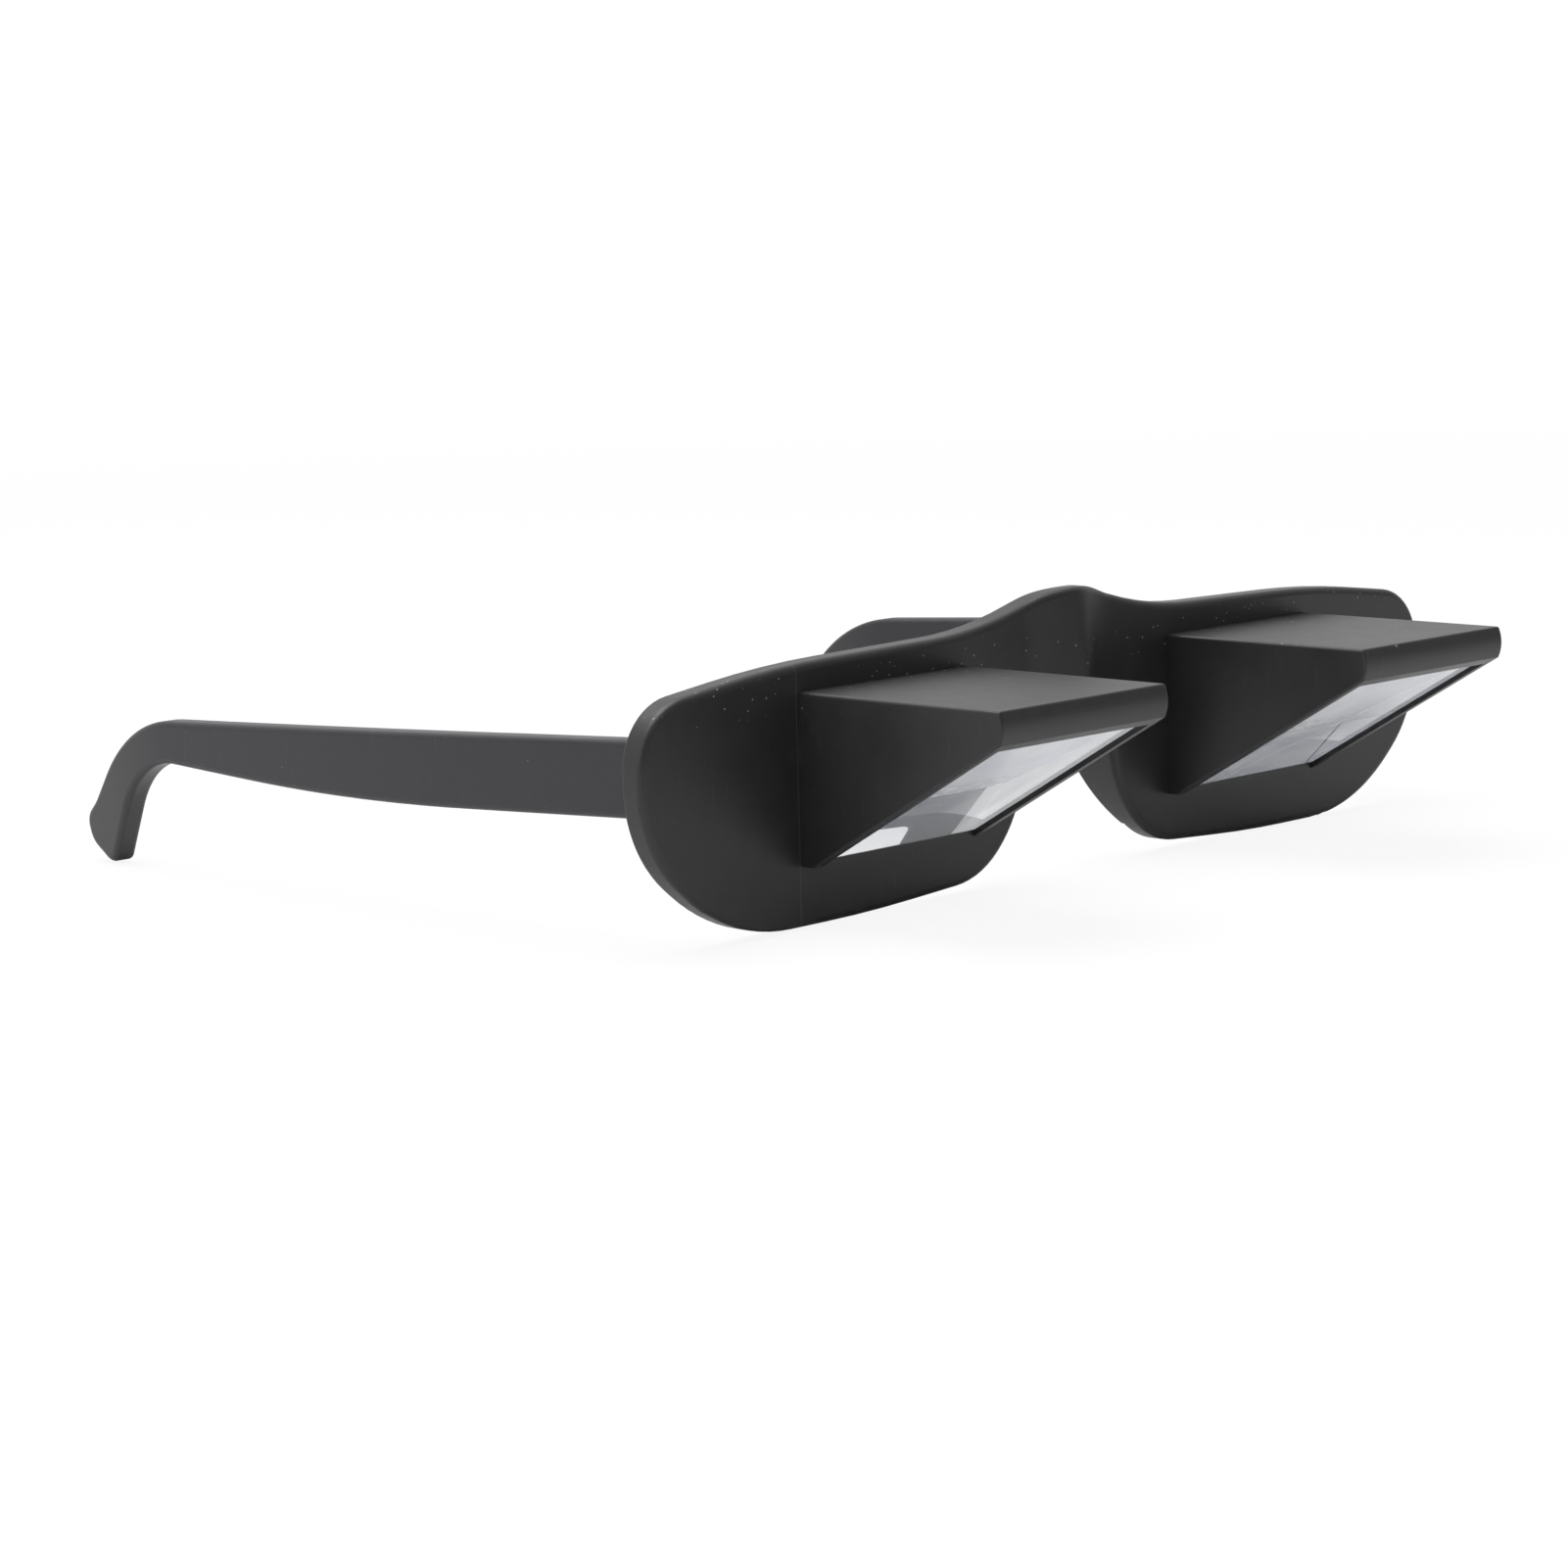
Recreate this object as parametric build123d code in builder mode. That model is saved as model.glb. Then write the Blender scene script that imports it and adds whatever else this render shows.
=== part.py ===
from build123d import *
import os

os.makedirs("parts", exist_ok=True)

# Frame: X to the wearer's left, Y back towards the wearer's head, Z up.
# The pieces are drawn with Y = 0 on the plates' front face and Z = 0 on the surface they stand on.
# They are then placed with the middle of the glasses' depth at Y = 0.

# Front: outline
front_width = 157.6
bridge_height = 37.9

# Front: thickness and edges
front_depth = 3.6
front_wall = 1.8
front_edge_radius = 1.0
rear_edge_radius = 0.5

# Bridge: forward bulge above the nose, larger at its lower end
bulge_top = 1.8
bulge_low = 3.8
bulge_width = 18.0
bridge_thickness = 3.2

# Nose flanges: the deeper inner edges of the plates
flange_width = 2.6
flange_depth = 3.5
flange_reach = 15.4
flange_top = 19.5
flange_full = 12.0
flange_end = 4.0

# Prism housings
prism_spacing = 72.0
housing_width = 31.3
housing_height = 21.8
housing_length = 32.5
housing_drop = 8.4
lip_height = 4.2
lip_crown = 0.5
sill_length = 1.9
housing_wall = 1.5
sill_wall = 0.75
housing_edge_radius = 0.4

# Prisms and their mirror films
glass_recess = 0.6
glass_clearance = 0.12
glass_bevel = 0.25
film_thickness = 0.25
film_gap = 0.05

# Back plates
back_plate_side_margin = 14.6
back_plate_nose_margin = 12.7
back_plate_top_margin = 6.9
back_plate_lift = 2.6
back_plate_radius = 9.0
back_plate_clearance = 0.12
back_plate_setback = 0.1
window_width = 22.2
window_height = 17.2
window_radius = 1.5
window_bevel = 0.4
collar_gap = 0.15

# Temples
temple_length = 114.4
temple_drop = 11.84
temple_thickness = 3.7
temple_end_thickness = 3.6
temple_inset = 2.6
temple_bow = 3.5
temple_bow_start = 26.0
temple_edge_radius = 0.8
temple_gap = 0.3

# Hinges
leaf_thickness = 0.8
leaf_height = 6.9
leaf_corner = 1.0
frame_leaf_reach = 5.3
temple_leaf_reach = 7.0
leaf_end = 1.2
knuckle_radius = 1.4
knuckle_gap = 0.1
knuckle_clearance = 0.2
knuckle_web = 2.0
pin_radius = 0.6
pin_clearance = 0.05
pin_head_radius = 1.1
pin_head_height = 0.5
pin_slot_width = 0.35
pin_slot_depth = 0.25

# Leaf screws
screw_radius = 0.55
screw_depth = 2.2
screw_head_radius = 0.95
screw_head_height = 0.4
screw_clearance = 0.05
screw_inset = 1.6
screw_spacing = 3.8
screw_slot_width = 0.3
screw_slot_depth = 0.2

# Cuts run past the faces they open by this much
overrun = 1.0

# Front outline: corners from the bridge outwards and back along the bottom to the nose notch.
# Each corner is a share of the half width and a share of the bridge's height.
corner_shares = [
    (0.209, 0.888),
    (0.695, 0.871),
    (1.0, 0.792),
    (1.0, 0.3335),
    (0.807, 0.0),
    (0.496, 0.0),
    (0.2185, 0.0345),
    (0.127, 0.2362),
    (0.095, 0.5937),
]
apex_share = 1.0275

# How far the bridge's arc and the corners' arcs reach, as shares of the shorter side at each corner
bridge_arc_share = 0.385
corner_arc_shares = [0.572, 0.396, 0.432, 0.47, 0.52, 0.362, 0.5, 0.47, 0.423]

# A face is a side face if its normal tilts out of the side plane by less than this share.
tilt_share = 0.1

# Temple outline: corners from the end of its top edge round the tip and back along its bottom edge.
# Each corner is a share of the temple's length and a share of its height at the hinge.
temple_shares = [
    (0.9039, 0.7827),
    (0.9815, 0.3146),
    (1.0031, 0.2259),
    (0.9932, 0.093),
    (0.9559, 0.0),
    (0.944, 0.0),
    (0.8833, 0.5884),
    (0.4647, 0.5264),
]
temple_arc_shares = [0.66, 0.258, 0.45, 0.42, 0.45, 0.48, 0.489, 0.451]
root_share = 0.631

# Places worked out from the sizes above
half_width = front_width / 2
notch_top = corner_shares[-1][1] * bridge_height
eye_offset = prism_spacing / 2
housing_top = bridge_height - housing_drop
housing_bottom = housing_top - housing_height
lip_bottom = housing_top - lip_height
cavity_top = housing_top - housing_wall
cavity_front = housing_length - housing_wall
cavity_width = housing_width - 2 * housing_wall
sill_top = housing_bottom + sill_wall
rim_slope = (housing_height - lip_height) / (housing_length - sill_length)
glass_lift = glass_recess * (1 + rim_slope**2) ** 0.5
prism_top = cavity_top - film_thickness - 2 * film_gap
prism_front = cavity_front - glass_clearance
prism_bottom = sill_top + glass_clearance
prism_width = cavity_width - 2 * glass_clearance
window_middle = (prism_top + prism_bottom) / 2
back_plate_width = half_width - back_plate_side_margin - back_plate_nose_margin
back_plate_height = bridge_height - back_plate_top_margin - back_plate_lift
back_plate_middle = back_plate_nose_margin + back_plate_width / 2
back_plate_level = back_plate_lift + back_plate_height / 2
temple_top = bridge_height - temple_drop
temple_front = front_depth + temple_gap
temple_outer = half_width - temple_inset
temple_inner = temple_outer - temple_thickness
depth_middle = (temple_front + temple_length - housing_length - lip_crown) / 2
hinge_x = temple_inner - leaf_thickness - knuckle_radius - knuckle_clearance
hinge_y = front_depth + leaf_thickness + knuckle_radius + knuckle_clearance
hinge_z = temple_top * (1 + root_share) / 2
knuckle_pitch = (leaf_height + knuckle_gap) / 3
knuckle_height = knuckle_pitch - knuckle_gap


def glass_level(forward):
    """Height of the prism's slanted face at a distance in front of the plates."""
    return housing_bottom + glass_lift + (forward - sill_length) * rim_slope


def arc_radii(corners, arc_shares):
    """Radius of the arc at each inner corner, from the share of the shorter side that it takes up."""
    radii = []
    for before, corner, after, share in zip(corners, corners[1:], corners[2:], arc_shares):
        arriving = Vector(*corner) - Vector(*before)
        leaving = Vector(*after) - Vector(*corner)
        bend = arriving.normalized().dot(leaving.normalized())
        reach = share * min(arriving.length, leaving.length)
        radii.append(reach * ((1 + bend) / (1 - bend)) ** 0.5)
    return radii


def front_outline():
    """Front view of the plates and bridge, drawn with x across and y up."""
    apex = (0, apex_share * bridge_height)
    right = [(x * half_width, z * bridge_height) for x, z in corner_shares]
    left = [(-x, z) for x, z in reversed(right)]
    arc_shares = [bridge_arc_share] + corner_arc_shares + corner_arc_shares[::-1]
    radii = arc_radii([left[-1], apex, *right, *left, apex], arc_shares)
    with BuildSketch() as outline:
        with BuildLine():
            FilletPolyline(apex, *right, *left, radius=radii, close=True)
        make_face()
    return outline.sketch


def bridge_section(level):
    """Top view of the front at one height: flat plates with the bridge bulging forward between them."""
    slope = (bulge_low - bulge_top) / (bridge_height - notch_top)
    bulge = bulge_low - slope * (level - notch_top)
    reach = half_width + overrun
    half_bulge = bulge_width / 2
    with BuildSketch(Plane.XY.offset(level)) as section:
        with BuildLine():
            Line((-reach, 0), (-half_bulge, 0))
            Spline((-half_bulge, 0), (0, -bulge), (half_bulge, 0), tangents=[(1, 0), (1, 0)])
            Line((half_bulge, 0), (reach, 0))
            Line((reach, 0), (reach, front_depth))
            Line((reach, front_depth), (half_bulge, front_depth))
            saddle = (0, bridge_thickness - bulge)
            rear_points = [(half_bulge, front_depth), saddle, (-half_bulge, front_depth)]
            Spline(*rear_points, tangents=[(-1, 0), (-1, 0)])
            Line((-half_bulge, front_depth), (-reach, front_depth))
            Line((-reach, front_depth), (-reach, 0))
        make_face()
    return section.sketch


def slotted_screw(head_radius, head_height, shank_radius, shank_length, slot_width, slot_depth):
    """Screw with its head's underside on the XY plane and its shank pointing down."""
    with BuildPart() as screw:
        Cylinder(head_radius, head_height, align=(Align.CENTER, Align.CENTER, Align.MIN))
        Cylinder(shank_radius, shank_length, align=(Align.CENTER, Align.CENTER, Align.MAX))
        fillet(edges().group_by(Axis.Z)[-1], slot_depth / 2)
        with Locations((0, 0, head_height)):
            Box(2 * head_radius, slot_width, 2 * slot_depth, mode=Mode.SUBTRACT)
    return screw.part


# One moulding holds the plates, bridge, nose flanges and housings.

with BuildPart() as bridge_slab:
    add(bridge_section(-overrun))
    add(bridge_section(bridge_height + overrun))
    loft(ruled=True)

with BuildPart() as flange:
    with BuildSketch(Plane.XZ.offset(-front_depth - flange_depth)):
        add(front_outline())
        with Locations((flange_width, 0)):
            add(front_outline(), mode=Mode.SUBTRACT)
    extrude(amount=front_wall + flange_depth)
    with BuildSketch(Plane.YZ):
        with BuildLine():
            Polyline(
                (front_wall, flange_end),
                (front_depth, flange_end),
                (front_depth + flange_depth, flange_full),
                (front_depth, flange_top),
                (front_wall, flange_top),
                close=True,
            )
        make_face()
    extrude(amount=flange_reach + flange_width, mode=Mode.INTERSECT)

with BuildPart() as housing:
    with BuildSketch(Plane.YZ.offset(eye_offset)):
        with BuildLine():
            top_rear = (front_wall, housing_top)
            top_front = (-housing_length, housing_top)
            lip_middle = (-housing_length - lip_crown, (housing_top + lip_bottom) / 2)
            lip_foot = (-housing_length, lip_bottom)
            bottom_rear = (front_wall, housing_bottom)
            Polyline(bottom_rear, top_rear, top_front)
            ThreePointArc(top_front, lip_middle, lip_foot)
            Polyline(lip_foot, (-sill_length, housing_bottom), bottom_rear)
        make_face()
    extrude(amount=housing_width / 2, both=True)
    fillet(edges().filter_by(lambda edge: edge.center().Y < -sill_length), housing_edge_radius)

with BuildPart() as cavity:
    with BuildSketch(Plane.YZ.offset(eye_offset)):
        with BuildLine():
            Polyline(
                (front_wall + overrun, sill_top),
                (front_wall + overrun, cavity_top),
                (-cavity_front, cavity_top),
                (-cavity_front, housing_bottom - overrun),
                (-sill_length, housing_bottom - overrun),
                (-sill_length, sill_top),
                close=True,
            )
        make_face()
    extrude(amount=cavity_width / 2, both=True)

with BuildPart() as front_shell:
    with BuildSketch(Plane.XZ.offset(-front_depth - overrun)):
        add(front_outline())
    extrude(amount=front_depth + bulge_low + 2 * overrun)
    add(bridge_slab.part, mode=Mode.INTERSECT)
    for facing, radius in ((-1, front_edge_radius), (1, rear_edge_radius)):
        side_edges = faces().filter_by(lambda face: abs(face.normal_at().Y) < tilt_share).edges()
        flat_faces = faces().filter_by(lambda face: facing * face.normal_at().Y > 1 - tilt_share)
        fillet([edge for edge in flat_faces.edges() if edge in side_edges], radius)
    add(flange.part)
    mirror(flange.part, about=Plane.YZ)
    add(housing.part)
    mirror(housing.part, about=Plane.YZ)
    # Pockets for the back plates, then the prism cavities through them
    for side in (-1, 1):
        with BuildSketch(Plane.XZ.offset(-front_wall)):
            with Locations((side * back_plate_middle, back_plate_level)):
                RectangleRounded(back_plate_width, back_plate_height, back_plate_radius)
        extrude(amount=-(front_depth + flange_depth), mode=Mode.SUBTRACT)
    add(cavity.part, mode=Mode.SUBTRACT)
    mirror(cavity.part, about=Plane.YZ, mode=Mode.SUBTRACT)
    # Blind holes for the screws of the hinges
    for side in (-1, 1):
        with BuildSketch(Plane.XZ.offset(-front_depth)):
            with Locations((side * (hinge_x - frame_leaf_reach + screw_inset), hinge_z)):
                with GridLocations(0, screw_spacing, 1, 2):
                    Circle(screw_radius + screw_clearance)
        extrude(amount=screw_depth, mode=Mode.SUBTRACT)


# The left prism, its film and its back plate. The right ones are their mirror images.

with BuildPart() as left_prism:
    with BuildSketch(Plane.YZ.offset(eye_offset)):
        with BuildLine():
            Polyline(
                (0, prism_bottom),
                (0, prism_top),
                (-prism_front, prism_top),
                (-prism_front, glass_level(prism_front)),
                (-sill_length - (prism_bottom - housing_bottom - glass_lift) / rim_slope, prism_bottom),
                close=True,
            )
        make_face()
    extrude(amount=prism_width / 2, both=True)
    chamfer(edges(), glass_bevel)

with BuildPart() as left_mirror_film:
    with BuildSketch(Plane.XY.offset(prism_top + film_gap)):
        with Locations((eye_offset, -prism_front / 2)):
            Rectangle(prism_width - 2 * glass_bevel, prism_front - 2 * glass_bevel)
    extrude(amount=film_thickness)

# The back plate has a collar that reaches through the front's wall and holds the prism.
with BuildPart() as left_back_plate:
    with BuildSketch(Plane.XZ.offset(-front_wall - back_plate_setback)):
        with Locations((back_plate_middle, back_plate_level)):
            RectangleRounded(
                back_plate_width - 2 * back_plate_clearance,
                back_plate_height - 2 * back_plate_clearance,
                back_plate_radius - back_plate_clearance,
            )
    extrude(amount=-(front_depth - front_wall - 2 * back_plate_setback))
    with BuildSketch(Plane.XZ.offset(-front_wall - back_plate_setback)):
        with Locations((eye_offset, window_middle)):
            Rectangle(prism_width, prism_top - prism_bottom)
    extrude(amount=front_wall + back_plate_setback - collar_gap)
    with BuildSketch(Plane.XZ.offset(-front_depth)):
        with Locations((eye_offset, window_middle)):
            RectangleRounded(window_width, window_height, window_radius)
    extrude(amount=front_depth, mode=Mode.SUBTRACT)
    rear = faces().sort_by(Axis.Y)[-1]
    chamfer(rear.inner_wires().edges(), window_bevel)


# The left temple: its side view cut to the strip that it fills from above.

with BuildPart() as left_temple:
    with BuildSketch(Plane.YZ.offset(temple_outer - temple_bow - 2 * temple_thickness)):
        with BuildLine():
            root_top = (temple_front, temple_top)
            root_bottom = (temple_front, root_share * temple_top)
            corners = [(temple_front + y * temple_length, z * temple_top) for y, z in temple_shares]
            radii = arc_radii([root_top, *corners, root_bottom], temple_arc_shares)
            FilletPolyline(root_top, *corners, root_bottom, radius=radii)
            Line(root_bottom, root_top)
        make_face()
    extrude(amount=temple_bow + 3 * temple_thickness)
    with BuildSketch(mode=Mode.PRIVATE) as strip:
        with BuildLine():
            temple_end = temple_front + temple_length + overrun
            bend = temple_front + temple_bow_start
            outer_end = (temple_outer - temple_bow, temple_end)
            inner_end = (temple_outer - temple_bow - temple_end_thickness, temple_end)
            Line((temple_outer, temple_front - overrun), (temple_outer, bend))
            TangentArc((temple_outer, bend), outer_end, tangent=(0, 1))
            Line(outer_end, inner_end)
            TangentArc((temple_inner, bend), inner_end, tangent=(0, 1))
            Line((temple_inner, bend), (temple_inner, temple_front - overrun))
            Line((temple_inner, temple_front - overrun), (temple_outer, temple_front - overrun))
        make_face()
    extrude(strip.sketch, amount=bridge_height, mode=Mode.INTERSECT)
    edge_faces = faces().filter_by(lambda face: abs(face.normal_at().X) < tilt_share)
    long_edges = edge_faces.edges().filter_by(Axis.X, reverse=True)
    fillet(long_edges.filter_by(lambda edge: edge.center().Y > temple_front), temple_edge_radius)
    # Blind holes for the screws of the hinge
    with BuildSketch(Plane.YZ.offset(temple_inner)):
        with Locations((hinge_y + temple_leaf_reach - screw_inset, hinge_z)):
            with GridLocations(0, screw_spacing, 1, 2):
                Circle(screw_radius + screw_clearance)
    extrude(amount=screw_depth, mode=Mode.SUBTRACT)


# The left hinge: the frame's leaf has the outer knuckles, the temple's leaf the middle one.

with BuildPart() as left_hinge_frame_leaf:
    with BuildSketch(Plane.XZ.offset(-front_depth)):
        with Locations((hinge_x + (leaf_end - frame_leaf_reach) / 2, hinge_z)):
            Rectangle(frame_leaf_reach + leaf_end, leaf_height)
        fillet(vertices().group_by(Axis.X)[0], leaf_corner)
        with Locations((hinge_x - frame_leaf_reach + screw_inset, hinge_z)):
            with GridLocations(0, screw_spacing, 1, 2):
                Circle(screw_radius + screw_clearance, mode=Mode.SUBTRACT)
    extrude(amount=-leaf_thickness)
    for step in (-1, 1):
        with BuildSketch(Plane.XY.offset(hinge_z + step * knuckle_pitch - knuckle_height / 2)):
            with Locations((hinge_x, hinge_y)):
                Circle(knuckle_radius)
            with Locations((hinge_x, (front_depth + hinge_y) / 2)):
                Rectangle(knuckle_web, hinge_y - front_depth)
        extrude(amount=knuckle_height)
    with BuildSketch(Plane.XY.offset(hinge_z)):
        with Locations((hinge_x, hinge_y)):
            Circle(pin_radius + pin_clearance)
    extrude(amount=leaf_height, both=True, mode=Mode.SUBTRACT)

with BuildPart() as left_hinge_temple_leaf:
    with BuildSketch(Plane.YZ.offset(temple_inner - leaf_thickness)):
        with Locations((hinge_y + (temple_leaf_reach - leaf_end) / 2, hinge_z)):
            Rectangle(temple_leaf_reach + leaf_end, leaf_height)
        fillet(vertices().group_by(Axis.X)[-1], leaf_corner)
        with Locations((hinge_y + temple_leaf_reach - screw_inset, hinge_z)):
            with GridLocations(0, screw_spacing, 1, 2):
                Circle(screw_radius + screw_clearance, mode=Mode.SUBTRACT)
    extrude(amount=leaf_thickness)
    with BuildSketch(Plane.XY.offset(hinge_z - knuckle_height / 2)):
        with Locations((hinge_x, hinge_y)):
            Circle(knuckle_radius)
        with Locations(((hinge_x + temple_inner) / 2, hinge_y)):
            Rectangle(temple_inner - hinge_x, knuckle_web)
    extrude(amount=knuckle_height)
    with BuildSketch(Plane.XY.offset(hinge_z)):
        with Locations((hinge_x, hinge_y)):
            Circle(pin_radius + pin_clearance)
    extrude(amount=leaf_height, both=True, mode=Mode.SUBTRACT)

pin = slotted_screw(pin_head_radius, pin_head_height, pin_radius, leaf_height, pin_slot_width, pin_slot_depth)
leaf_screw_length = leaf_thickness + screw_depth - screw_clearance
leaf_screw = slotted_screw(
    screw_head_radius, screw_head_height, screw_radius, leaf_screw_length, screw_slot_width, screw_slot_depth
)
frame_leaf_face = Plane(
    origin=(hinge_x - frame_leaf_reach + screw_inset, front_depth + leaf_thickness, hinge_z),
    x_dir=(0, 0, 1),
    z_dir=(0, 1, 0),
)
temple_leaf_face = Plane(
    origin=(temple_inner - leaf_thickness, hinge_y + temple_leaf_reach - screw_inset, hinge_z),
    x_dir=(0, 0, 1),
    z_dir=(-1, 0, 0),
)

with BuildPart() as left_hinge_screw:
    with Locations((hinge_x, hinge_y, hinge_z + leaf_height / 2)):
        add(pin)

with BuildPart() as left_frame_leaf_screws:
    with Locations(frame_leaf_face):
        with GridLocations(screw_spacing, 0, 2, 1):
            add(leaf_screw)

with BuildPart() as left_temple_leaf_screws:
    with Locations(temple_leaf_face):
        with GridLocations(screw_spacing, 0, 2, 1):
            add(leaf_screw)


# Every piece is placed about the middle of the depth. The right ones mirror the left ones.

with BuildPart() as placed_front:
    with Locations((0, -depth_middle, 0)):
        add(front_shell.part)
placed_front.part.label = "front_shell"
export_step(placed_front.part, "parts/front_shell.step")

left_pieces = {
    "prism": left_prism,
    "mirror_film": left_mirror_film,
    "back_plate": left_back_plate,
    "temple": left_temple,
    "hinge_frame_leaf": left_hinge_frame_leaf,
    "hinge_temple_leaf": left_hinge_temple_leaf,
    "hinge_screw": left_hinge_screw,
    "frame_leaf_screws": left_frame_leaf_screws,
    "temple_leaf_screws": left_temple_leaf_screws,
}

for name, piece in left_pieces.items():
    with BuildPart() as placed_left:
        with Locations((0, -depth_middle, 0)):
            add(piece.part)
    placed_left.part.label = "left_" + name
    export_step(placed_left.part, "parts/left_" + name + ".step")
    with BuildPart() as placed_right:
        mirror(placed_left.part, about=Plane.YZ)
    placed_right.part.label = "right_" + name
    export_step(placed_right.part, "parts/right_" + name + ".step")
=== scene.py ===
"""Prism bed glasses: finishes, stage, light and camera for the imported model."""

import bpy
from mathutils import Matrix, Vector

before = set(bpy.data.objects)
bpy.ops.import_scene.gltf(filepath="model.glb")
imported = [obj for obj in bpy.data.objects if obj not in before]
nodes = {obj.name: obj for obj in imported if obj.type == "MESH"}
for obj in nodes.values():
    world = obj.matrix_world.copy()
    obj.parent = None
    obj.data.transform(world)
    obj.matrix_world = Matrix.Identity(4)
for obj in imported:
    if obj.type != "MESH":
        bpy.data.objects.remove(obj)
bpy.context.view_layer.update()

# Places on the front moulding and the temples, in metres
PLATE_FRONT = -0.04265
HOUSING_TOP = 0.0295
MOULD_LINE_X = 0.0521
MOULD_LINE_HALF_WIDTH = 0.00007
# Where the painted sheen on the temple tips starts and ends
TIP_SHEEN_START = 0.056
TIP_SHEEN_END = 0.070

# Places on the prisms, in metres. The slanted face starts at the foot, at the plates'
# front, and rises by the slope for each metre forward.
PRISM_TOP = 0.02765
PRISM_INNER = 0.02197
PRISM_FOOT = 0.0073
PRISM_SLOPE = 0.5752
GROUND_STRIP = 0.0032

# How near to a face a point counts as on it, in metres
SKIN = 0.0002

# Depths of the surface grain, in metres
SPARK_DEPTH = 0.000012
RIPPLE_DEPTH = 0.00001
BRUSH_DEPTH = 0.000008

# Marks to the metre, across and along a scratch
SCRATCH_SPREAD = (1500.0, 1500.0, 150.0)

ACRYLIC_IOR = 1.49

# Painted glow, standing in for light scattered in the silvering and in the ground faces
SILVER_PAINTED_GLOW = 0.15
GROUND_PAINTED_GLOW = 0.32

WHITE = (1.0, 1.0, 1.0, 1.0)

# The surround: its fill, and its strength in front for gloss and for clear pieces
FILL = 0.44
FRONT_GLOSS = 0.34
FRONT_CLEAR = 0.85


class Value:
    """A socket in a sum: the operators add the Math nodes that work it out."""

    def __init__(self, finish, socket):
        self.finish = finish
        self.socket = socket

    def maths(self, operation, *numbers):
        """The result of one Math node."""
        sockets = dict(enumerate(numbers))
        return self.finish.node("ShaderNodeMath", {"operation": operation}, sockets)

    def __add__(self, other):
        return self.maths("ADD", self, other)

    __radd__ = __add__

    def __sub__(self, other):
        return self.maths("SUBTRACT", self, other)

    def __rsub__(self, other):
        return self.maths("SUBTRACT", other, self)

    def __mul__(self, other):
        return self.maths("MULTIPLY", self, other)

    __rmul__ = __mul__

    def __gt__(self, other):
        return self.maths("GREATER_THAN", self, other)

    def __lt__(self, other):
        return self.maths("LESS_THAN", self, other)

    def __abs__(self):
        return self.maths("ABSOLUTE", self)

    def other(self, name):
        """Another output of the same node."""
        return Value(self.finish, self.socket.node.outputs[name])

    def between(self, low, high):
        """0 below low, 1 above high and an even slope between them."""
        return self.finish.node(
            "ShaderNodeMapRange",
            {"clamp": True},
            {"Value": self, "From Min": low, "From Max": high},
        )


class Finish:
    """A node tree with one method that makes its nodes."""

    def __init__(self, tree):
        self.tree = tree
        tree.nodes.clear()

    def node(self, kind, settings=None, sockets=None, output=0):
        """Makes a node, sets it up, fills its sockets and returns one output."""
        made = self.tree.nodes.new(kind)
        for name, setting in (settings or {}).items():
            setattr(made, name, setting)
        for name, given in (sockets or {}).items():
            if isinstance(given, Value):
                self.tree.links.new(given.socket, made.inputs[name])
            else:
                made.inputs[name].default_value = given
        if not made.outputs:
            return made
        return Value(self, made.outputs[output])

    def blend(self, factor, first, second):
        """One colour turning into another as the factor goes from 0 to 1."""
        return self.node(
            "ShaderNodeMix",
            {"data_type": "RGBA"},
            {0: factor, 6: first, 7: second},
            output=2,
        )

    def place(self):
        """Where a point lies on its piece, in metres."""
        return self.node("ShaderNodeTexCoord", output="Object")

    def axes(self, place):
        """The three numbers of a place."""
        made = self.node("ShaderNodeSeparateXYZ", sockets={0: place})
        return [made.other(axis) for axis in "XYZ"]

    def grain(self, place, scale, detail=2.0, roughness=0.5):
        """Cloudy unevenness from 0 to 1."""
        return self.node(
            "ShaderNodeTexNoise",
            sockets={
                "Vector": place,
                "Scale": scale,
                "Detail": detail,
                "Roughness": roughness,
            },
        )

    def stretched(self, place, scale, turn=(0.0, 0.0, 0.0)):
        """A place with each axis drawn out or squeezed."""
        return self.node(
            "ShaderNodeMapping",
            sockets={"Vector": place, "Rotation": turn, "Scale": scale},
        )

    def scratches(self, place, turn, rarity):
        """1 along short hair-thin marks that lie one way, 0 elsewhere."""
        drawn_out = self.stretched(place, SCRATCH_SPREAD, turn)
        line = self.grain(drawn_out, 1.0, detail=0.0).between(rarity, rarity + 0.02)
        patch = self.grain(place, 70.0, detail=1.0).between(0.52, 0.60)
        return line * patch

    def specks(self, place, spacing, size, share):
        """1 in small round specks, one to each spacing, of which a share shows."""
        settings = {"feature": "F1", "voronoi_dimensions": "3D"}
        sockets = {"Vector": place, "Scale": 1 / spacing}
        near = self.node("ShaderNodeTexVoronoi", settings, sockets)
        chance = self.node("ShaderNodeSeparateColor", sockets={0: near.other("Color")})
        own_size = chance.other("Green") * (size / spacing)
        return (near < own_size) * (chance < share)

    def bump(self, height, distance):
        """Raises the surface by a height, in parts of a distance in metres."""
        sockets = {"Height": height, "Distance": distance}
        return self.node("ShaderNodeBump", sockets=sockets)

    def surface(self, **sockets):
        """A shader for an opaque or clear surface."""
        named = {
            name.replace("_", " ").title().replace("Ior", "IOR"): given
            for name, given in sockets.items()
        }
        return self.node("ShaderNodeBsdfPrincipled", sockets=named)

    def over(self, factor, under, coat):
        """A coat over a shader: the factor says how much of it shows."""
        return self.node("ShaderNodeMixShader", sockets={0: factor, 1: under, 2: coat})

    def close(self, shader):
        """Ends the tree with its shader."""
        self.node("ShaderNodeOutputMaterial", sockets={"Surface": shader})


def material(name):
    """A new empty material and its finish."""
    made = bpy.data.materials.new(name)
    made.use_nodes = True
    return made, Finish(made.node_tree)


def opaque(red, green, blue):
    """A colour with full alpha."""
    return (red, green, blue, 1.0)


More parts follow.
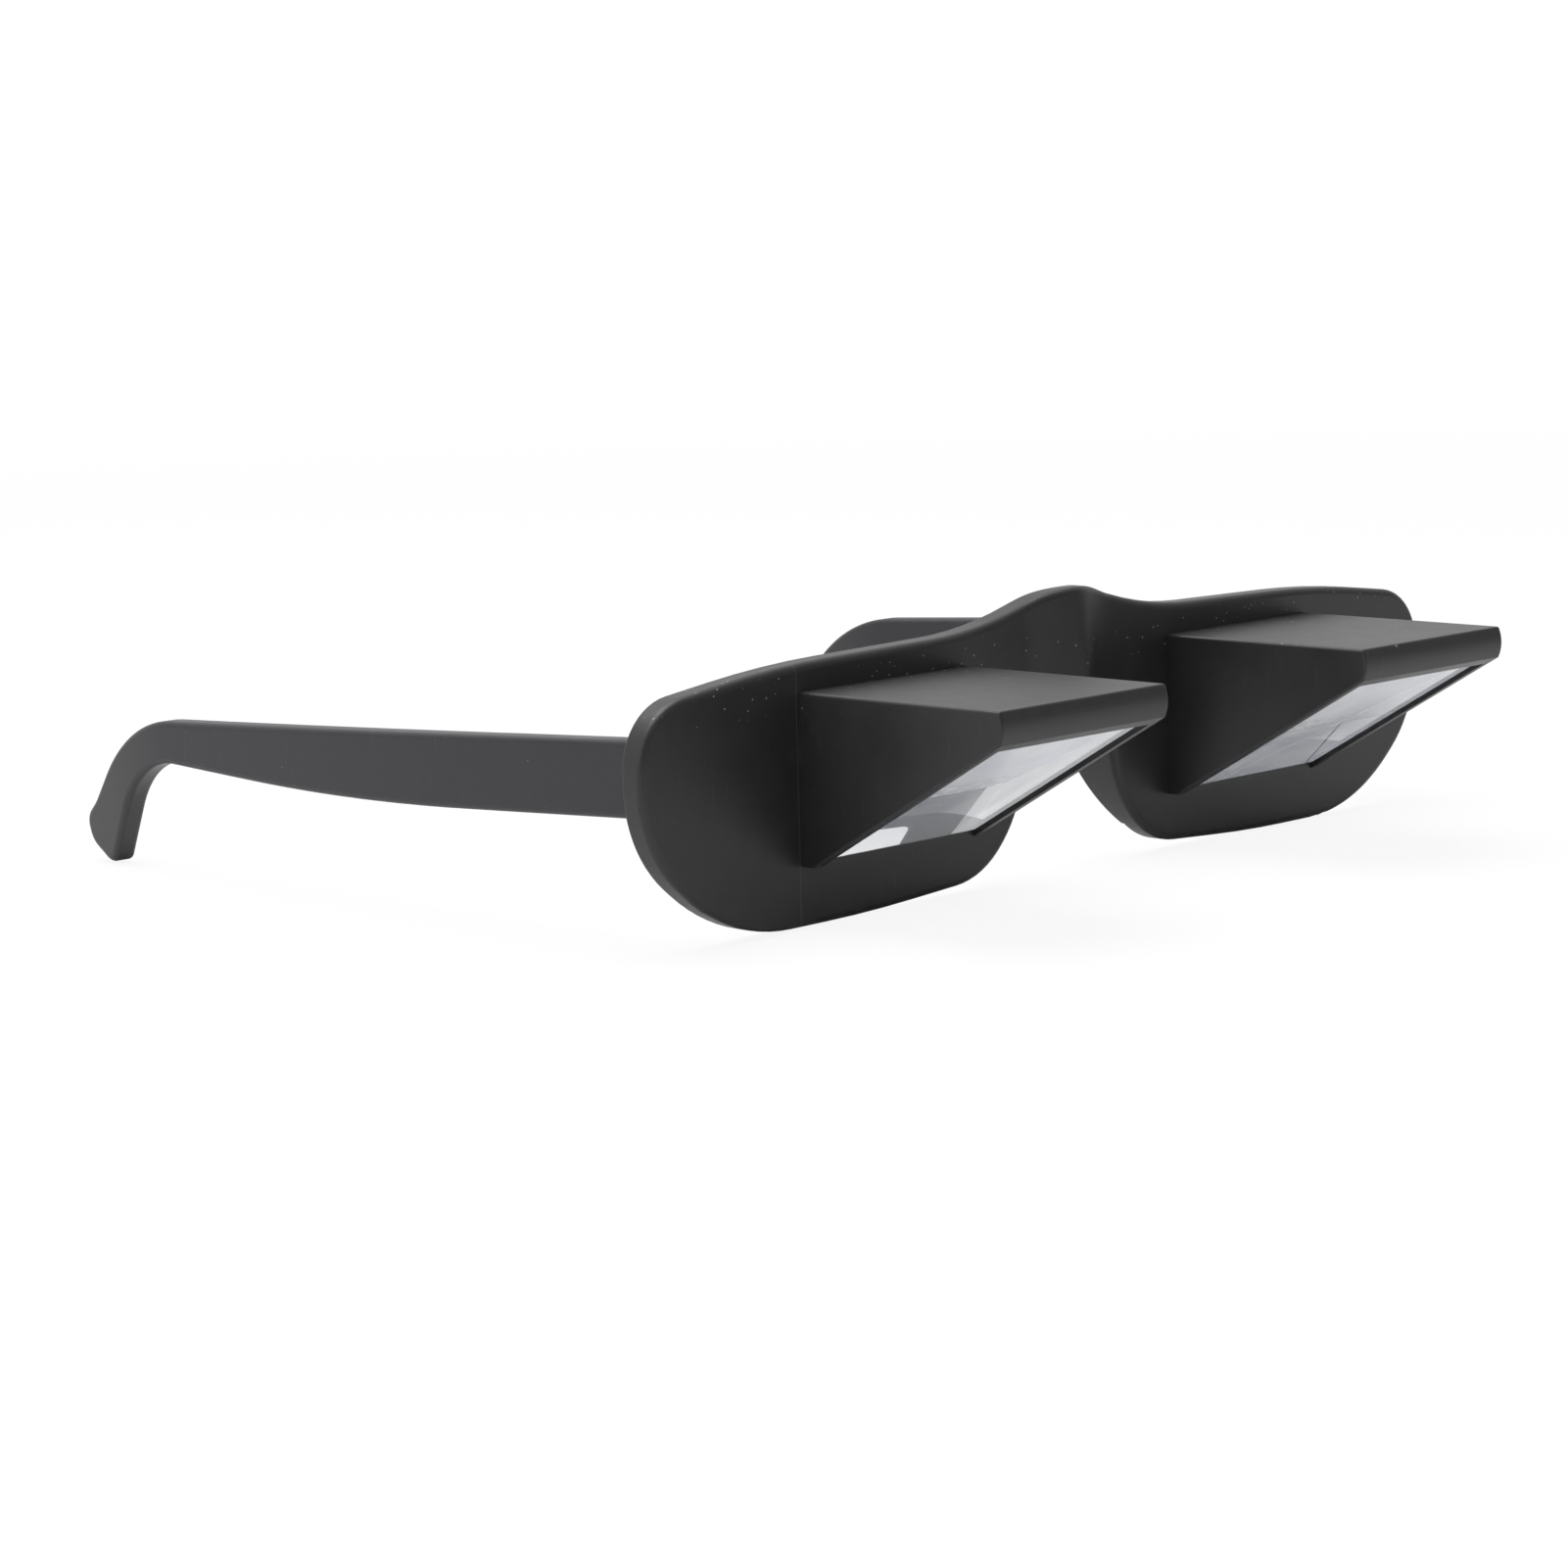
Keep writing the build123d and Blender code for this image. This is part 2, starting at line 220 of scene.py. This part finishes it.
def mark_front(finish, place, base):
    """Dust at the housings' rear corners and a mould line: the colour and the line."""
    across, back, up = finish.axes(place)
    corner = back.between(PLATE_FRONT - 0.010, PLATE_FRONT - 0.002)
    corner = corner * up.between(HOUSING_TOP - 0.003, HOUSING_TOP - 0.001)
    corner = corner * (up < HOUSING_TOP + 0.0025)
    dust = finish.specks(place, spacing=0.0008, size=0.00016, share=0.35) * corner
    base = finish.blend(dust * 0.6, base, opaque(0.42, 0.42, 0.42))
    on_plate = (back > PLATE_FRONT - 0.0006) * (back < PLATE_FRONT + 0.0012)
    line = (abs(across + MOULD_LINE_X) < MOULD_LINE_HALF_WIDTH) * on_plate
    return finish.blend(line * 0.35, base, opaque(0.10, 0.10, 0.105)), line


def black_moulding(name, colour, dusty, roughness, specular, marked=False, tip_sheen=False):
    """Matte black plastic from a spark-eroded mould, with dust and handling marks, and
    on the temples a painted sheen that pales the tips.
    """
    made, finish = material(name)
    place = finish.place()
    cloud = finish.grain(place, 45.0, detail=4.0, roughness=0.6)
    handled = finish.grain(place, 260.0, detail=3.0)
    spark = finish.grain(place, 5200.0)
    scratches = finish.scratches(place, turn=(0.5, 0.3, 0.9), rarity=0.74)
    scratches = scratches + finish.scratches(place, turn=(-0.4, 0.9, -0.6), rarity=0.75)
    dust = finish.specks(place, spacing=0.0034, size=0.00024, share=0.22)
    dusty_patch = finish.grain(place, 90.0, detail=1.0).between(0.50, 0.62)
    fine_dust = finish.specks(place, spacing=0.0009, size=0.00009, share=0.35)
    fine_dust = fine_dust * dusty_patch
    tone = (cloud * 0.6 + handled * 0.4).between(0.3, 0.7)
    base = finish.blend(tone, colour, dusty)
    base = finish.blend(scratches * 0.035, base, opaque(0.11, 0.11, 0.115))
    dust_shown = dust * 0.55 + fine_dust * 0.40
    base = finish.blend(dust_shown, base, opaque(0.30, 0.30, 0.30))
    height = spark * 0.9 + handled * 0.1
    if marked:
        base, line = mark_front(finish, place, base)
        height = height + line * 1.5
    if tip_sheen:
        # Painted sheen: the temple tips turn paler towards their ends, as if lit from
        # behind and the left.
        painted_tip_sheen = finish.axes(place)[1].between(TIP_SHEEN_START, TIP_SHEEN_END)
        base = finish.blend(painted_tip_sheen * 0.85, base, opaque(0.044, 0.043, 0.043))
    gloss = roughness + (tone - 0.5) * 0.08 + (spark - 0.5) * 0.10
    shader = finish.surface(
        base_color=base,
        roughness=gloss - scratches * 0.03,
        specular_ior_level=specular,
        normal=finish.bump(height, SPARK_DEPTH),
    )
    finish.close(shader)
    return made


def film_coat(finish, place, dust):
    """A smeared film on the slanted face: how much of it shows, and its shader."""
    across, back, up = finish.axes(place)
    forward = PLATE_FRONT - back
    slanted = (up - (PRISM_FOOT + forward * PRISM_SLOPE)) < SKIN
    smears = finish.grain(place, 110.0, detail=1.0).between(0.35, 0.65)
    wiped = 1.0 - abs(across).between(PRISM_INNER + 0.0045, PRISM_INNER + 0.0065)
    tone = finish.grain(place, 190.0).between(0.35, 0.65)
    bluish = finish.blend(tone, opaque(0.46, 0.50, 0.62), opaque(0.66, 0.67, 0.68))
    film = finish.surface(base_color=bluish, roughness=0.7)
    return slanted * (0.24 - wiped * 0.20 + smears * 0.05 + dust * 0.4), film


def silver_coat(finish, place, cloud):
    """Silvering on the top, with chips behind: how much shows, and its shader, which
    has a painted glow; the chips are crazing in the coat, painted white as glints.
    """
    back, up = finish.axes(place)[1:]
    edge = back + (cloud - 0.5) * 0.0012
    crazed = edge.between(PLATE_FRONT - 0.0062, PLATE_FRONT - 0.0042)
    flakes = finish.stretched(place, (520.0, 1500.0, 520.0))
    # The chips are partly crazing in the coat and partly painted glints: white, and
    # glowing with the coat.
    chips_and_glints = finish.grain(flakes, 1.0, detail=3.0).between(0.53, 0.56) * crazed
    patchy = cloud.between(0.3, 0.7)
    tone = finish.blend(patchy, opaque(0.86, 0.86, 0.91), opaque(0.97, 0.97, 0.99))
    tone = finish.blend(crazed * 0.5, tone, opaque(0.42, 0.42, 0.45))
    tone = finish.blend(chips_and_glints, tone, WHITE)
    # Painted glow: the silvering emits its own tone, standing in for scattered light.
    silver = finish.surface(
        base_color=tone,
        roughness=0.55,
        emission_color=tone,
        emission_strength=SILVER_PAINTED_GLOW,
    )
    silvered = up > PRISM_TOP - SKIN
    return silvered * (0.84 + cloud * 0.1 + chips_and_glints * 0.3), silver


def ground_coat(finish, place, cloud):
    """The ground side and rear strip by the nose: how much shows, and the shader, which
    has a painted glow.
    """
    across, back = finish.axes(place)[:2]
    side = abs(across) < PRISM_INNER + SKIN
    strip = (abs(across) < PRISM_INNER + GROUND_STRIP) * (back > PLATE_FRONT - SKIN)
    tone = finish.blend(cloud, opaque(0.92, 0.92, 0.91), opaque(0.98, 0.98, 0.98))
    # Painted glow: the ground faces emit their own tone, standing in for light
    # scattered through them.
    ground = finish.surface(
        base_color=tone,
        roughness=0.8,
        emission_color=tone,
        emission_strength=GROUND_PAINTED_GLOW,
    )
    return (side * 0.90 + strip * 0.85).between(0.0, 1.0), ground


def clear_prism(name):
    """Clear plastic with a film, silvering and ground faces; the silvering and ground
    faces have a painted glow.
    """
    made, finish = material(name)
    place = finish.place()
    haze = finish.grain(place, 320.0, detail=3.0)
    cloud = finish.grain(place, 130.0, detail=3.0)
    dust = finish.specks(place, spacing=0.0021, size=0.00016, share=0.16)
    clear = finish.surface(
        base_color=opaque(0.965, 0.975, 0.985),
        roughness=haze.between(0.45, 0.9) * 0.03 + dust * 0.5,
        ior=ACRYLIC_IOR,
        transmission_weight=1.0,
    )
    hazy, film = film_coat(finish, place, dust)
    covered, silver = silver_coat(finish, place, cloud)
    frosted, ground = ground_coat(finish, place, cloud)
    polished = finish.over(hazy, clear, film)
    finish.close(finish.over(frosted, finish.over(covered, polished, silver), ground))
    return made


def silver_film(name):
    """Bright mirror film with slight ripples."""
    made, finish = material(name)
    place = finish.place()
    ripple = finish.grain(place, 150.0)
    tarnish = finish.grain(place, 600.0, detail=3.0).between(0.45, 0.8)
    tone = finish.blend(tarnish, opaque(0.86, 0.87, 0.88), opaque(0.74, 0.75, 0.77))
    shader = finish.surface(
        base_color=tone,
        metallic=1.0,
        roughness=0.05 + tarnish * 0.05,
        normal=finish.bump(ripple, RIPPLE_DEPTH),
    )
    finish.close(shader)
    return made


def brushed_steel(name, colour, worn, roughness, direction):
    """Steel with fine lines along one direction and darker patches."""
    made, finish = material(name)
    place = finish.place()
    lines = finish.grain(finish.stretched(place, direction), 1.0, detail=3.0)
    patches = finish.grain(place, 900.0, detail=3.0).between(0.4, 0.75)
    shader = finish.surface(
        base_color=finish.blend(patches * 0.7 + lines * 0.3, colour, worn),
        metallic=1.0,
        roughness=roughness + (lines - 0.5) * 0.18 + patches * 0.08,
        normal=finish.bump(lines, BRUSH_DEPTH),
    )
    finish.close(shader)
    return made


shell_black = black_moulding(
    "shell_black_moulding",
    colour=opaque(0.0122, 0.0122, 0.0134),
    dusty=opaque(0.0178, 0.0178, 0.0192),
    roughness=0.43,
    specular=0.42,
    marked=True,
)
temple_black = black_moulding(
    "temple_black_moulding",
    colour=opaque(0.0145, 0.0139, 0.0176),
    dusty=opaque(0.0202, 0.0193, 0.0241),
    roughness=0.44,
    specular=0.38,
    tip_sheen=True,
)
inner_black = black_moulding(
    "back_plate_black_moulding",
    colour=opaque(0.0125, 0.0125, 0.0130),
    dusty=opaque(0.0190, 0.0190, 0.0200),
    roughness=0.52,
    specular=0.30,
)
prism_clear = clear_prism("prism_clear_acrylic")
film_silver = silver_film("prism_mirror_film")
leaf_steel = brushed_steel(
    "hinge_leaf_steel",
    colour=opaque(0.56, 0.56, 0.55),
    worn=opaque(0.36, 0.36, 0.36),
    roughness=0.30,
    direction=(300.0, 300.0, 9000.0),
)
screw_steel = brushed_steel(
    "screw_turned_steel",
    colour=opaque(0.50, 0.50, 0.50),
    worn=opaque(0.28, 0.28, 0.29),
    roughness=0.26,
    direction=(2500.0, 2500.0, 2500.0),
)

finishes = {
    "front_shell": shell_black,
    "temple": temple_black,
    "back_plate": inner_black,
    "prism": prism_clear,
    "mirror_film": film_silver,
    "hinge_frame_leaf": leaf_steel,
    "hinge_temple_leaf": leaf_steel,
    "hinge_screw": screw_steel,
    "frame_leaf_screws": screw_steel,
    "temple_leaf_screws": screw_steel,
}
for name, node in nodes.items():
    for slot in node.material_slots:
        slot.material = finishes[name.removeprefix("left_").removeprefix("right_")]


# Stage: a pale floor under a white surround


def add_floor(reach, drop):
    """A wide floor that keeps a faint shadow and shows white to the camera."""
    corners = [(-reach, -reach), (reach, -reach), (reach, reach), (-reach, reach)]
    mesh = bpy.data.meshes.new("studio_floor")
    mesh.from_pydata([(x, y, -drop) for x, y in corners], [], [(0, 1, 2, 3)])
    floor = bpy.data.objects.new("studio_floor", mesh)
    bpy.context.scene.collection.objects.link(floor)
    made, finish = material("studio_floor_white")
    camera = finish.node("ShaderNodeLightPath", output="Is Camera Ray")
    through = camera.other("Is Transmission Ray")
    across, back = finish.axes(finish.place())[:2]
    far = (across * across + back * back).between(0.06, 0.8)
    pale = opaque(0.82, 0.82, 0.82)
    matte = finish.node("ShaderNodeBsdfDiffuse", sockets={"Color": pale})
    glow = finish.node("ShaderNodeEmission", sockets={"Strength": 1.0})
    finish.close(finish.over(camera * (0.9 + far * 0.1) + through * 0.5, matte, glow))
    mesh.materials.append(made)


def add_surround():
    """White to the camera, gloss and clear pieces, and a plain fill for the rest."""
    world = bpy.data.worlds.new("studio_surround")
    world.use_nodes = True
    bpy.context.scene.world = world
    finish = Finish(world.node_tree)
    camera = finish.node("ShaderNodeLightPath", output="Is Camera Ray")
    glossy = camera.other("Is Glossy Ray")
    through = camera.other("Is Transmission Ray")
    direction = finish.node("ShaderNodeTexCoord", output="Generated")
    behind = finish.axes(direction)[1].between(-0.5, 0.6)
    in_gloss = glossy * (FRONT_GLOSS + (1.0 - FRONT_GLOSS) * behind)
    in_clear = through * (FRONT_CLEAR + (1.0 - FRONT_CLEAR) * behind)
    fill = (1.0 - camera - glossy - through).between(0.0, 1.0) * FILL
    strength = camera + (in_gloss + in_clear) * (1.0 - camera) + fill
    sockets = {"Color": WHITE, "Strength": strength}
    glow = finish.node("ShaderNodeBackground", sockets=sockets)
    finish.node("ShaderNodeOutputWorld", sockets={"Surface": glow})


def add_softbox(name, place, target, size, power):
    """A rectangular lamp that faces its target."""
    lamp = bpy.data.lights.new(name, "AREA")
    lamp.shape = "RECTANGLE"
    lamp.size, lamp.size_y = size
    lamp.energy = power
    softbox = bpy.data.objects.new(name, lamp)
    facing = Vector(place) - Vector(target)
    turn = facing.to_track_quat("Z", "Y").to_matrix().to_4x4()
    softbox.matrix_world = Matrix.Translation(place) @ turn
    bpy.context.scene.collection.objects.link(softbox)


middle = (0, 0, 0.02)
add_floor(reach=6.0, drop=0.0004)
add_surround()
add_softbox("overhead_softbox", (-0.1, 0.15, 0.9), middle, size=(0.8, 0.8), power=10.5)
add_softbox("left_softbox", (-0.8, 0.05, 0.35), middle, size=(0.6, 0.5), power=1.0)


# Camera: the photograph's place, direction and roll


def add_camera(place, right, up, forward):
    """A long lens in front of the wearer's right side, a little above the glasses."""
    lens = bpy.data.cameras.new("photo_camera")
    lens.lens = 94.23
    lens.sensor_width = 36.0
    lens.clip_start = 0.01
    lens.clip_end = 50.0
    camera = bpy.data.objects.new("photo_camera", lens)
    turn = Matrix((right, up, -forward)).transposed().to_4x4()
    camera.matrix_world = Matrix.Translation(place) @ turn
    bpy.context.scene.collection.objects.link(camera)
    bpy.context.scene.camera = camera


add_camera(
    place=Vector((-0.41225, -0.38937, 0.09397)),
    right=Vector((0.6932, -0.7203, -0.0242)),
    up=Vector((0.1246, 0.0867, 0.9884)),
    forward=Vector((0.7099, 0.6882, -0.1499)),
)
bpy.context.scene.view_settings.view_transform = "Standard"
